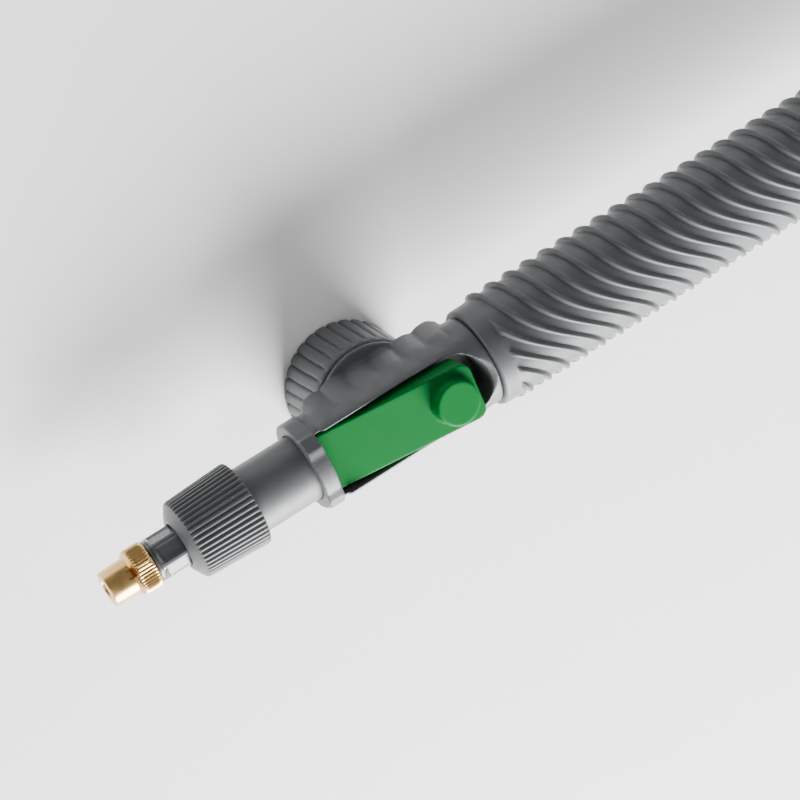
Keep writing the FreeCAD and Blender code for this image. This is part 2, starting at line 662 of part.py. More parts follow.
def make_swirl_core():
    front = STEM_FRONT - TIP_L
    head = on_axis(SWIRL_HEAD_R, front - SWIRL_HEAD_T, front)
    core = joined([head, on_axis(SWIRL_R, front, front + SWIRL_L)])
    slots = []
    for i in range(SWIRL_SLOTS):
        slot = block(front - SWIRL_HEAD_T - 1, front + SWIRL_L + 1, SWIRL_R - SWIRL_SLOT_D,
                     SWIRL_HEAD_R + 1, AXIS_Z - SWIRL_SLOT_W / 2, AXIS_Z + SWIRL_SLOT_W / 2)
        slot.rotate(V(0, 0, AXIS_Z), V(1, 0, 0), 360 / SWIRL_SLOTS * i)
        slots.append(slot)
    return core.cut(slots)


def grooves_on_axis(radius, depth, width, count, x0, x1, lean=0.0):
    """Cutters for straight grooves round the body axis that lean out by lean degrees."""
    tools = []
    for i in range(count):
        cutter = block(x0 - 1, x1 + 1, -width / 2, width / 2, radius - depth, radius + 4)
        cutter.rotate(V(x0, 0, radius - depth), V(0, 1, 0), -lean)
        cutter.translate(V(0, 0, AXIS_Z))
        cutter.rotate(V(0, 0, AXIS_Z), V(1, 0, 0), 360 / count * i)
        tools.append(cutter)
    return tools


def make_collar_nut():
    shoulder = NUT_FRONT + NUT_SHOULDER_L
    rear = NUT_FRONT + NUT_L
    mid = (NUT_NOSE_R + NUT_SHOULDER_R) / 2
    body = turned_on_axis([(NUT_FRONT, 0), (NUT_FRONT, NUT_NOSE_R),
                           (NUT_FRONT + NUT_EDGE, mid + NUT_EDGE),
                           (NUT_FRONT + NUT_KNEE, NUT_SHOULDER_R - NUT_EDGE),
                           (shoulder, NUT_SHOULDER_R), (rear - NUT_EDGE, NUT_REAR_R),
                           (rear, NUT_REAR_R - NUT_EDGE), (rear, 0)])
    lean = math.degrees(math.atan((NUT_REAR_R - NUT_SHOULDER_R) / (rear - shoulder)))
    tools = grooves_on_axis(NUT_SHOULDER_R, NUT_GROOVE_D, NUT_GROOVE_W, NUT_RIBS, shoulder,
                            rear, lean)
    tools += [on_axis(STEM_R + FREE, NUT_FRONT - 1, rear),
              on_axis(TUBE_R + FREE, NUT_FRONT + NUT_WALL, rear + 1)]
    return body.cut(tools)


def make_collar_washer():
    """The slip washer that the nut presses on the stem's flange."""
    front = NUT_FRONT + NUT_WALL + RUN
    return ring_on_axis(STEM_FLANGE_R, STEM_R + FREE, front, front + WASHER_T)


def nozzle_rear():
    return STEM_FRONT - RUN


def make_nozzle_cap():
    rear = nozzle_rear()
    ring_front = NOZZLE_FRONT + NOZZLE_TIP_L
    body = turned_on_axis([(NOZZLE_FRONT, 0), (NOZZLE_FRONT, NOZZLE_TIP_R - NOZZLE_EDGE),
                           (NOZZLE_FRONT + NOZZLE_EDGE, NOZZLE_TIP_R),
                           (ring_front, NOZZLE_TIP_R), (ring_front, KNURL_R - NOZZLE_EDGE / 2),
                           (ring_front + NOZZLE_EDGE, KNURL_R), (rear - NOZZLE_EDGE, KNURL_R),
                           (rear, KNURL_R - NOZZLE_EDGE / 2), (rear, 0)])
    chamber = NOZZLE_FRONT + ORIFICE_L + NOZZLE_CONE
    bore_r = TIP_R + RUN
    hollow = turned_on_axis([(NOZZLE_FRONT - 1, 0), (NOZZLE_FRONT - 1, ORIFICE_R),
                             (NOZZLE_FRONT + ORIFICE_L, ORIFICE_R), (chamber, SWIRL_HEAD_R + CHAMBER_GAP),
                             (chamber, bore_r), (rear + 1, bore_r), (rear + 1, 0)])
    groove = on_axis(TIP_R + NOZZLE_RING_T + RUN, rear - NOZZLE_RING_X - NOZZLE_RING_T - RUN,
                     rear - NOZZLE_RING_X + RUN)
    tools = grooves_on_axis(KNURL_R, KNURL_D, KNURL_D * 1.4, KNURL_COUNT, ring_front, rear)
    return body.cut([hollow, groove] + tools)


def make_nozzle_seal_ring():
    rear = nozzle_rear() - NOZZLE_RING_X
    return ring_on_axis(TIP_R + NOZZLE_RING_T, TIP_R + RUN, rear - NOZZLE_RING_T, rear)


# ---- pump -------------------------------------------------------------------------------
def tube_seal_ring(outer, inner, gap):
    x = BOSS_END - PUMP_SOCKET / 2
    half = PUMP_SEAL_T / 2 - gap
    return ring_on_axis(outer, inner, x - half, x + half)


def tube_seal_groove():
    return tube_seal_ring(PUMP_R + PUMP_SEAL_T, PUMP_R - RUN, 0)


def make_tube_seal():
    return tube_seal_ring(PUMP_R + PUMP_SEAL_T - SEAT, PUMP_R + SEAT, SEAT)


def make_pump_tube():
    return ring_on_axis(PUMP_R, PUMP_BORE_R, BOSS_END - PUMP_SOCKET, PISTON_X)


def make_piston():
    head = on_axis(PISTON_R, PISTON_X, PISTON_X + PISTON_L)
    stub = on_axis(PUMP_BORE_R - SEAT, PISTON_X - PISTON_SKIRT, PISTON_X)
    body = joined([head, stub])
    grooves = [ring_on_axis(BARREL_R, PISTON_R - PISTON_RING_T, x - SEAT,
                            x + PISTON_RING_T + SEAT) for x in piston_ring_starts()]
    return body.cut(grooves + [on_axis(PUMP_BORE_R - PISTON_WALL, PISTON_X - PISTON_SKIRT - 1,
                                       PISTON_X + PISTON_L + 1)])


def piston_ring_starts():
    return [PISTON_X + PISTON_RING_T, PISTON_X + PISTON_L - 2 * PISTON_RING_T]


def make_piston_rings():
    inner = PISTON_R - PISTON_RING_T + SEAT
    rings = [ring_on_axis(BARREL_R - RUN, inner, x, x + PISTON_RING_T)
             for x in piston_ring_starts()]
    return Part.makeCompound(rings)


def make_pump_barrel():
    return ring_on_axis(BARREL_OUT_R, BARREL_R, BARREL_FRONT, BARREL_REAR)


def make_barrel_gland():
    """The guide bush in the barrel's mouth, which the pump tube slides through."""
    front = BARREL_FRONT - GLAND_FLANGE
    flange = on_axis(BARREL_OUT_R, front, BARREL_FRONT)
    sleeve = on_axis(BARREL_R - SEAT, BARREL_FRONT, BARREL_FRONT + GLAND_L)
    bush = joined([flange, sleeve]).cut(on_axis(PUMP_R + RUN, front - 1, BARREL_FRONT + GLAND_L + 1))
    pocket_r = PUMP_R + WIPER_T + SEAT
    return bush.cut(on_axis(pocket_r, front - 1, front + WIPER_T))


def make_gland_wiper():
    front = BARREL_FRONT - GLAND_FLANGE
    return ring_on_axis(PUMP_R + WIPER_T, PUMP_R + RUN, front, front + WIPER_T)


# ---- grip -------------------------------------------------------------------------------
def rib_slab(x):
    """A slab across the grip that leans back from x at its +Y side."""
    half_w = RIB_W / 2
    points = [(x - half_w, RIB_R), (x + half_w, RIB_R),
              (x + 2 * RIB_SWEEP + half_w, -RIB_R), (x + 2 * RIB_SWEEP - half_w, -RIB_R)]
    wire = Part.makePolygon([V(a, b, AXIS_Z - RIB_R) for a, b in points + points[:1]])
    return Part.Face(wire).extrude(V(0, 0, 2 * RIB_R))


def make_grip_sleeve():
    front = BODY_REAR + GRIP_GAP
    ribs_front = front + GRIP_COLLAR_L
    ribs_rear = BARREL_REAR - GRIP_TAIL
    collar = on_axis(GRIP_COLLAR_R, front, ribs_front)
    rim = [e for e in collar.Edges if abs(e.BoundBox.XMax - front) < 0.01]
    collar = collar.makeFillet((GRIP_COLLAR_R - BARREL_OUT_R) * ROUNDING, rim)
    core = on_axis(GRIP_R, ribs_front, ribs_rear)
    tail = on_axis(GRIP_COLLAR_R, ribs_rear, BARREL_REAR)
    count = int((ribs_rear - RIB_FIRST) / RIB_PITCH) + 1
    before = int(2 * RIB_SWEEP / RIB_PITCH)
    slabs = [rib_slab(RIB_FIRST + RIB_PITCH * i) for i in range(-before, count)]
    room = ring_on_axis(RIB_R, GRIP_R - RIB_ROOT, ribs_front, ribs_rear)
    ribs = room.common(Part.makeCompound(slabs))
    sleeve = core.fuse([collar, tail] + ribs.Solids)
    return sleeve.cut(on_axis(BARREL_OUT_R + SEAT, front - 1, BARREL_REAR + 1)).removeSplitter()


def make_end_cap():
    cap = on_axis(END_CAP_R, BARREL_REAR, BARREL_REAR + END_CAP_T)
    edge = [e for e in cap.Edges if abs(e.BoundBox.XMin - BARREL_REAR - END_CAP_T) < 0.01]
    cap = cap.makeFillet(END_CAP_T * ROUNDING, edge)
    plug = on_axis(BARREL_R - SEAT, BARREL_REAR - END_PLUG_L, BARREL_REAR)
    return joined([cap, plug]).cut(end_seal_ring(BARREL_R + 1, 0))


def end_seal_ring(outer, gap):
    x = BARREL_REAR - END_PLUG_L / 2
    half = END_SEAL_T / 2 - gap
    return ring_on_axis(outer, BARREL_R - END_SEAL_T + gap, x - half, x + half)


def make_end_cap_seal():
    return end_seal_ring(BARREL_R - SEAT / 2, SEAT)


# ---- write the pieces -------------------------------------------------------------------
PIECES = {
    "bottle_cap": make_bottle_cap,
    "bottle_gasket": make_bottle_gasket,
    "bottle_spigot": make_bottle_spigot,
    "inlet_seat": make_inlet_seat,
    "inlet_ball": make_inlet_ball,
    "housing": make_housing,
    "trigger_lever": make_trigger_lever,
    "trigger_pin": make_trigger_pin,
    "trigger_spring": make_trigger_spring,
    "valve_plunger": make_valve_plunger,
    "plunger_seals": make_plunger_seals,
    "front_tube": make_front_tube,
    "outlet_seat": make_outlet_seat,
    "outlet_cage": make_outlet_cage,
    "outlet_ball": make_outlet_ball,
    "outlet_spring": make_outlet_spring,
    "stem_gasket": make_stem_gasket,
    "nozzle_stem": make_nozzle_stem,
    "swirl_core": make_swirl_core,
    "collar_nut": make_collar_nut,
    "collar_washer": make_collar_washer,
    "nozzle_cap": make_nozzle_cap,
    "nozzle_seal_ring": make_nozzle_seal_ring,
    "tube_seal": make_tube_seal,
    "pump_tube": make_pump_tube,
    "piston": make_piston,
    "piston_rings": make_piston_rings,
    "pump_barrel": make_pump_barrel,
    "barrel_gland": make_barrel_gland,
    "gland_wiper": make_gland_wiper,
    "grip_sleeve": make_grip_sleeve,
    "end_cap": make_end_cap,
    "end_cap_seal": make_end_cap_seal,
}

os.makedirs("parts", exist_ok=True)
for name, make in PIECES.items():
    shape = make()
    print(name, len(shape.Solids), "solids", round(shape.Volume, 1), "mm3", shape.isValid())
    shape.exportStep("parts/" + name + ".step")
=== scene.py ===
"""Looks of a hand-pumped trombone sprayer head, as a Blender add-on that also runs as a script."""
import json
import math

import bmesh
import bpy
from bpy.props import FloatProperty, IntProperty, PointerProperty, StringProperty
from mathutils import Matrix, Vector


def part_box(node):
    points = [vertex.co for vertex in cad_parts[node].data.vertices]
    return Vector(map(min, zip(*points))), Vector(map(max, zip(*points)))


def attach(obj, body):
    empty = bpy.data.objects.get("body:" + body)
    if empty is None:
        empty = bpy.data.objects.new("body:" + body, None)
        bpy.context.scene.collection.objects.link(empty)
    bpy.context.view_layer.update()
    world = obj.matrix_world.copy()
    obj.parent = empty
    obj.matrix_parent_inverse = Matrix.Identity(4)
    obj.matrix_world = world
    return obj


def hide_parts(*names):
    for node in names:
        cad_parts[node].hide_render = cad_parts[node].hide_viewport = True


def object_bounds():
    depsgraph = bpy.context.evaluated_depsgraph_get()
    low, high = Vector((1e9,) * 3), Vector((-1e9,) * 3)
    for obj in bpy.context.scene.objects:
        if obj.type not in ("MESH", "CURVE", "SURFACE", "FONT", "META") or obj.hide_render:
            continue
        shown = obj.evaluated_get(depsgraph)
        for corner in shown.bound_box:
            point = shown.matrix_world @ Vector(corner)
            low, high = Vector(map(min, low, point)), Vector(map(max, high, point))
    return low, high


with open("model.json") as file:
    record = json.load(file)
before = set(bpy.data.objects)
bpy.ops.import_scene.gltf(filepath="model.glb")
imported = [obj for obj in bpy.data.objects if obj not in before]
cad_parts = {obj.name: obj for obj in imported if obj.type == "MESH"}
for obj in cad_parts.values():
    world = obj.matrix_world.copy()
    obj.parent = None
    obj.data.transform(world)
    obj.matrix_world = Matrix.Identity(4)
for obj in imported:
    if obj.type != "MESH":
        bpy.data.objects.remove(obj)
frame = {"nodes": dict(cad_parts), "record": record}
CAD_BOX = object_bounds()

bl_info = {
    "name": "Trombone sprayer head",
    "version": (1, 0, 0),
    "blender": (4, 5, 0),
    "location": "3D View > Sidebar > Sprayer",
    "description": "Builds the visible pieces and materials of a bottle-top sprayer head",
    "category": "Add Mesh",
}

MM = 0.001
SEAT = 0.02 * MM            # clearance of a piece that is fixed on or in another
FIT = 0.3 * MM              # gap between pieces that turn or slide past each other
SAME = 0.01 * MM            # radii nearer than this are the same
NEAR = 0.1 * MM             # radii nearer than this belong to one surface
LOW, HIGH = {}, {}
for node_name in frame["nodes"]:
    LOW[node_name], HIGH[node_name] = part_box(node_name)
AXIS_Z = (LOW["pump_tube"].z + HIGH["pump_tube"].z) / 2
SPRAY = Matrix.Translation((0, 0, AXIS_Z))          # pieces turned about the spray axis
BOTTLE = Matrix.Rotation(-math.pi / 2, 4, "Y")      # pieces turned about the bottle's axis


def length(name, millimetres, text):
    """A length property, given in millimetres and kept in metres."""
    return FloatProperty(name=name, description=text, default=millimetres * MM, min=0,
                         precision=5, unit="LENGTH")


def angle(name, degrees, text):
    """An angle property, given in degrees and kept in radians."""
    return FloatProperty(name=name, description=text, default=math.radians(degrees),
                         subtype="ANGLE")


def colour(name, code, text):
    """A colour property, given as an sRGB hex code and kept as one."""
    return StringProperty(name=name, description=text, default=code, maxlen=7)


# ---- sizes and colours that a user would change ------------------------------------------
class SprayerSizes(bpy.types.PropertyGroup):
    """Sizes of the visible pieces that the frame doesn't give"""
    rib_pitch: length("Rib pitch", 5.85, "Distance between two grip ribs")
    rib_height: length("Rib height", 1.2, "Height of a grip rib over its valley")
    rib_front: length("Rib front", 0.85, "Half width of a rib on its steep front side")
    rib_rear: length("Rib rear", 1.2, "Half width of a rib on its rear side")
    rib_start: length("Rib start", 0.8, "Length over which a rib rises out of the collar")
    rib_first: length("First rib", 33.4, "Where a rib crosses the line that the pattern starts at")
    rib_sweep: length("Rib sweep", 10.4, "Half the length that a rib's bend runs back")
    rib_bend: angle("Rib bend", 36, "Turn about the grip over which a rib bends")
    rib_middle: angle("Rib middle", -3, "Place of the bend round the grip, from its top")
    rib_lean: length("Rib lean", 1.4, "How far the whole rib runs back in each radian")
    rib_line: angle("Rib line", 116, "Place of the line that the pattern is mirrored at")
    rib_gap: angle("Rib gap", 9, "Half the plain strip between the ribs' ends")
    grip_steps: IntProperty(name="Grip steps", default=232, description="Faces round the grip")
    collar: length("Collar", 4.5, "Plain length at the grip's front")
    collar_step: length("Collar step", 0.2, "How far the collar lies below the ribs' valleys")
    collar_edge: length("Collar edge", 0.9, "Rounding of the grip's front edge")
    tail: length("Tail", 8.0, "Plain length at the grip's rear")
    nut_taper: length("Nut taper", 0.8, "How much the nut's radius grows to its rear")
    nut_nose: length("Nut nose", 7.5, "Radius of the nut's flat front")
    nut_shoulder: length("Nut shoulder", 2.9, "Length of the nut's round shoulder")
    nut_roof: length("Nut roof", 2.0, "Thickness of the nut's front wall")
    nut_ledge: length("Nut ledge", 2.2, "Width of the ledge that holds the slip washer")
    nut_ribs: IntProperty(name="Nut ribs", default=48, description="Fine ribs round the nut")
    nut_rib_depth: length("Nut rib depth", 0.6, "Depth of the grooves between the nut's ribs")
    cap_taper: length("Cap taper", 0.8, "How much narrower the cap is at its top")
    cap_edge: length("Cap edge", 1.2, "Bevel round the cap's top")
    cap_roof: length("Cap roof", 2.0, "Thickness of the cap's top wall")
    cap_ledge: length("Cap ledge", 3.5, "Width of the ledge over the spigot's flange")
    cap_relief: length("Cap relief", 1.3, "How far the cap is wider above its thread")
    cap_ribs: IntProperty(name="Cap ribs", default=30, description="Wide ribs round the cap")
    cap_groove: length("Cap groove", 0.62, "Depth of the grooves between the cap's ribs")
    thread_pitch: length("Thread pitch", 2.7, "Pitch of the bottle thread")
    thread_depth: length("Thread depth", 1.1, "Depth of the bottle thread")
    tip_radius: length("Nozzle tip radius", 4.9, "Radius of the nozzle's plain tip")
    tip_length: length("Nozzle tip length", 6.9, "Length of the nozzle's plain tip")
    tip_edge: length("Nozzle edge", 0.45, "Rounding of the nozzle's edges")
    nozzle_bore: length("Nozzle bore", 3.65, "Radius inside the nozzle")
    orifice: length("Orifice", 0.45, "Radius of the spray hole")
    dish: length("Dish", 2.5, "Radius of the dish round the spray hole")
    knurl_count: IntProperty(name="Knurl teeth", default=44, description="Teeth on the nozzle")
    knurl_depth: length("Knurl depth", 0.32, "Depth of the nozzle's straight knurl")
    slot_turn: angle("Slot turn", 30, "Place of the key slot round the nozzle")
    slot_half: angle("Slot half width", 16, "Half the turn that a key slot takes")
    slot_depth: length("Slot depth", 1.1, "Depth of a key slot")
    stem_radius: length("Stem radius", 5.8, "Radius over the stem's ribs")
    stem_core: length("Stem core", 4.9, "Distance of the stem's flats from its axis")
    stem_tip: length("Stem tip", 3.6, "Radius of the stem's tip inside the nozzle")
    stem_bore: length("Stem bore", 1.8, "Radius of the channel through the stem")
    stem_tail: length("Stem tail", 2.98, "Radius of the stem inside the front tube")
    stem_ribs: IntProperty(name="Stem ribs", default=6, description="Ribs along the stem")
    voxel: length("Moulding voxel", 0.38, "Fineness of the moulded housing's surface")
    lever_voxel: length("Lever voxel", 0.2356, "Fineness of the moulded lever's surface")


class SprayerColours(bpy.types.PropertyGroup):
    """Colours of the materials, as sRGB hex codes"""
    housing: colour("Housing", "#56585a", "Grey moulded plastic")
    stem: colour("Stem", "#4c4e51", "Dark glossy plastic")
    lever: colour("Lever", "#006028", "Green moulded plastic")
    brass: colour("Brass", "#dcb474", "Turned brass")
    rubber: colour("Rubber", "#1c1c1d", "Nitrile rubber")
    acetal: colour("Acetal", "#e9e7e0", "Natural white acetal")
    tube: colour("Pump tube", "#b9bcc0", "Smooth extruded plastic")
    steel: colour("Steel", "#b4b6b8", "Drawn stainless steel")
    floor: colour("Floor", "#fafafa", "Pale studio floor")


# ---- materials -----------------------------------------------------------------------------
def linear(code):
    """Linear RGBA of an sRGB hex code."""
    parts = [int(code[i:i + 2], 16) / 255 for i in (1, 3, 5)]
    return [c / 12.92 if c <= 0.04045 else ((c + 0.055) / 1.055) ** 2.4 for c in parts] + [1.0]


def shade(rgba, factor):
    return [min(1.0, c * factor) for c in rgba[:3]] + [1.0]


WAVE_PERIOD = 2 * math.pi / 20      # length of one wave in a wave texture of scale 1


def per(millimetres):
    """Texture scale, in cycles a metre, of a pattern with that real size."""
    return 1 / (millimetres * MM)


def add(tree, kind, values=None, links=None, **settings):
    """Adds a node, sets its properties and input values, and links its inputs."""
    made = tree.nodes.new(kind)
    for key, value in settings.items():
        setattr(made, key, value)
    for key, value in (values or {}).items():
        made.inputs[key].default_value = value
    for key, source in (links or {}).items():
        tree.links.new(source, made.inputs[key])
    return made


def new_material(name):
    """An empty node material and the object coordinates that its patterns read."""
    material = bpy.data.materials.new(name)
    material.use_nodes = True
    material.node_tree.nodes.clear()
    place = add(material.node_tree, "ShaderNodeTexCoord")
    return material, material.node_tree, place.outputs["Object"]


def finish_material(tree, shader):
    add(tree, "ShaderNodeOutputMaterial", links={"Surface": shader.outputs["BSDF"]})


def moulded_plastic(name, code, roughness, grain=0.16, relief=0.10, coat=0.0, specular=0.5):
    """Injection-moulded plastic: a spark-eroded grain, faint flow marks, roughness that varies.

    The grain and its relief are in millimetres, several times coarser than the real ones, so
    that they show in a view of the whole object.
    """
    material, tree, place = new_material(name)
    base = linear(code)
    flow_mark, scuff_mark = 14, 4       # millimetres
    darker, lighter = 0.92, 1.07        # tone across the flow marks
    flow = add(tree, "ShaderNodeTexNoise", {"Scale": per(flow_mark), "Detail": 3.0},
               {"Vector": place})
    tone = add(tree, "ShaderNodeMix", data_type="RGBA")
    tone.inputs[6].default_value = shade(base, darker)
    tone.inputs[7].default_value = shade(base, lighter)
    tree.links.new(flow.outputs["Fac"], tone.inputs[0])
    pits = add(tree, "ShaderNodeTexNoise", {"Scale": per(grain), "Detail": 2.0},
               {"Vector": place})
    scuff = add(tree, "ShaderNodeTexNoise", {"Scale": per(scuff_mark), "Detail": 5.0},
                {"Vector": place})
    gloss = add(tree, "ShaderNodeMapRange", {"To Min": roughness - 0.06,
                                            "To Max": roughness + 0.08},
                {"Value": scuff.outputs["Fac"]})
    bump = add(tree, "ShaderNodeBump", {"Strength": 0.35, "Distance": relief * MM},
               {"Height": pits.outputs["Fac"]})
    shader = add(tree, "ShaderNodeBsdfPrincipled", {"IOR": 1.5, "Coat Weight": coat,
                                                    "Coat Roughness": 0.12,
                                                    "Specular IOR Level": specular},
                 {"Base Color": tone.outputs[2], "Roughness": gloss.outputs["Result"],
                  "Normal": bump.outputs["Normal"]})
    finish_material(tree, shader)
    return material


def turned_metal(name, code, roughness, pitch):
    """Turned metal: lathe rings, some millimetres apart, along the spray axis, and a little tarnish.

    The rings are drawn coarser than a real lathe's, so that they show.
    """
    material, tree, place = new_material(name)
    base = linear(code)
    stain_mark = 3                      # millimetres
    darker, lighter = 0.80, 1.05        # tone across the tarnish
    rings = add(tree, "ShaderNodeTexWave", {"Scale": per(pitch) * WAVE_PERIOD, "Distortion": 1.5,
                                           "Detail": 2.0}, {"Vector": place},
                wave_type="BANDS", bands_direction="X")
    stain = add(tree, "ShaderNodeTexNoise", {"Scale": per(stain_mark), "Detail": 4.0},
                {"Vector": place})
    tone = add(tree, "ShaderNodeMix", data_type="RGBA")
    tone.inputs[6].default_value = shade(base, darker)
    tone.inputs[7].default_value = shade(base, lighter)
    tree.links.new(stain.outputs["Fac"], tone.inputs[0])
    gloss = add(tree, "ShaderNodeMapRange", {"To Min": roughness - 0.05,
                                            "To Max": roughness + 0.12},
                {"Value": stain.outputs["Fac"]})
    bump = add(tree, "ShaderNodeBump", {"Strength": 0.15, "Distance": 0.02 * MM},
               {"Height": rings.outputs["Fac"]})
    shader = add(tree, "ShaderNodeBsdfPrincipled", {"Metallic": 1.0},
                 {"Base Color": tone.outputs[2], "Roughness": gloss.outputs["Result"],
                  "Normal": bump.outputs["Normal"]})
    finish_material(tree, shader)
    return material


def material_of(key):
    """The finished material of that name, made once."""
    if key in bpy.data.materials:
        return bpy.data.materials[key]
    hues = bpy.context.scene.sprayer_colours
    makers = {
        # grey ABS, spark-eroded mould: soft broad highlights
        "moulded_grey_abs": lambda: moulded_plastic(key, hues.housing, 0.42),
        # dark polished polypropylene: small sharp highlights
        "polished_dark_pp": lambda: moulded_plastic(key, hues.stem, 0.24, grain=0.3, relief=0.04,
                                                    coat=0.3),
        # green polypropylene, satin mould: even sheen over the whole lever
        "moulded_green_pp": lambda: moulded_plastic(key, hues.lever, 0.4, grain=0.2, relief=0.06,
                                                    specular=0.08),
        # turned brass: warm, with faint rings from the lathe
        "turned_brass": lambda: turned_metal(key, hues.brass, 0.24, pitch=0.754),
        # moulded nitrile rubber: dark and dull
        "moulded_rubber": lambda: moulded_plastic(key, hues.rubber, 0.62, grain=0.25),
        # natural acetal: waxy white
        "turned_acetal": lambda: moulded_plastic(key, hues.acetal, 0.34, grain=0.4, relief=0.04),
        # extruded tube: smooth and pale
        "extruded_tube": lambda: moulded_plastic(key, hues.tube, 0.2, grain=0.8, relief=0.03, coat=0.2),
        # drawn steel: bright, with faint draw lines
        "drawn_steel": lambda: turned_metal(key, hues.steel, 0.22, pitch=1.257),
    }
    return makers[key]()


FINISH_OF_SLOT = {
    "grey_plastic": "moulded_grey_abs", "dark_plastic": "polished_dark_pp",
    "green_plastic": "moulded_green_pp", "brass": "turned_brass", "rubber": "moulded_rubber",
    "steel": "drawn_steel", "white_plastic": "turned_acetal", "tube_plastic": "extruded_tube",
}


# ---- mesh helpers --------------------------------------------------------------------------
def turned(profile, steps, hollow=False):
    """Turns (x, radius) points about the X axis. A hollow profile is a closed loop."""
    bm = bmesh.new()
    points = [bm.verts.new((x, 0, r)) for x, r in profile]
    ends = points[1:] + points[:1] if hollow else points[1:]
    edges = [bm.edges.new(pair) for pair in zip(points, ends)]
    bmesh.ops.spin(bm, geom=points + edges, cent=(0, 0, 0), axis=(1, 0, 0), angle=2 * math.pi,
                   steps=steps, use_merge=True, use_duplicate=False)
    bmesh.ops.remove_doubles(bm, verts=bm.verts, dist=1e-7)
    bmesh.ops.recalc_face_normals(bm, faces=bm.faces)
    return bm


def outline(x, radius, *steps):
    """(x, radius) points, each some millimetres along and outwards from one place."""
    return [(x + along * MM, radius + out * MM) for along, out in steps]


def soften(bm, width, segments=3, limit=25.0):
    """Rounds every edge that turns by more than limit degrees."""
    sharp = [e for e in bm.edges if e.is_manifold and e.calc_face_angle(0) > math.radians(limit)]
    bmesh.ops.bevel(bm, geom=sharp, offset=width, segments=segments, profile=0.5,
                    affect="EDGES", material=-1, clamp_overlap=True, loop_slide=True)


def reshape(bm, move):
    """Gives each vertex the (x, radius) that move(x, turn, radius) says. Turn 0 is up."""
    for vertex in bm.verts:
        y, z = vertex.co.y, vertex.co.z
        turn = math.atan2(y, z)
        x, radius = move(vertex.co.x, turn, math.hypot(y, z))
        vertex.co = (x, radius * math.sin(turn), radius * math.cos(turn))


def ease(low, high, value):
    """0 below low, 1 above high, and a smooth step between."""
    t = min(1.0, max(0.0, (value - low) / (high - low)))
    return t * t * (3 - 2 * t)


def piece(name, bm, matrix, nodes, body, slot, smooth=40.0):
    """Makes the piece from its bmesh, in place, and hands it to its CAD body."""
    bm.transform(matrix)
    mesh = bpy.data.meshes.new(name)
    bm.to_mesh(mesh)
    bm.free()
    mesh.shade_smooth()
    mesh.set_sharp_from_angle(angle=math.radians(smooth))
    made = bpy.data.objects.new(name, mesh)
    bpy.context.scene.collection.objects.link(made)
    made.data.materials.append(material_of(FINISH_OF_SLOT[slot]))
    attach(made, body)
    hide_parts(*nodes)
    return made


def remoulded(node, voxel, rounds):
    """A CAD node's skin rebuilt in fine even faces, with its edges rounded as a mould leaves them."""
    bm = bmesh.new()
    bm.from_mesh(frame["nodes"][node].data)
    bmesh.ops.remove_doubles(bm, verts=bm.verts, dist=1e-6)
    mesh = bpy.data.meshes.new(node + "_source")
    bm.to_mesh(mesh)
    bm.free()
    source = bpy.data.objects.new(node + "_source", mesh)
    bpy.context.scene.collection.objects.link(source)
    remesh = source.modifiers.new("remesh", "REMESH")
    remesh.mode = "VOXEL"
    remesh.voxel_size = voxel
    remesh.adaptivity = 0
    graph = bpy.context.evaluated_depsgraph_get()
    fine = bpy.data.meshes.new_from_object(source.evaluated_get(graph))
    bpy.data.objects.remove(source)
    bm = bmesh.new()
    bm.from_mesh(fine)
    bpy.data.meshes.remove(fine)
    for _ in range(rounds):
        bmesh.ops.smooth_vert(bm, verts=bm.verts, factor=0.5, use_axis_x=True,
                              use_axis_y=True, use_axis_z=True)
    return bm


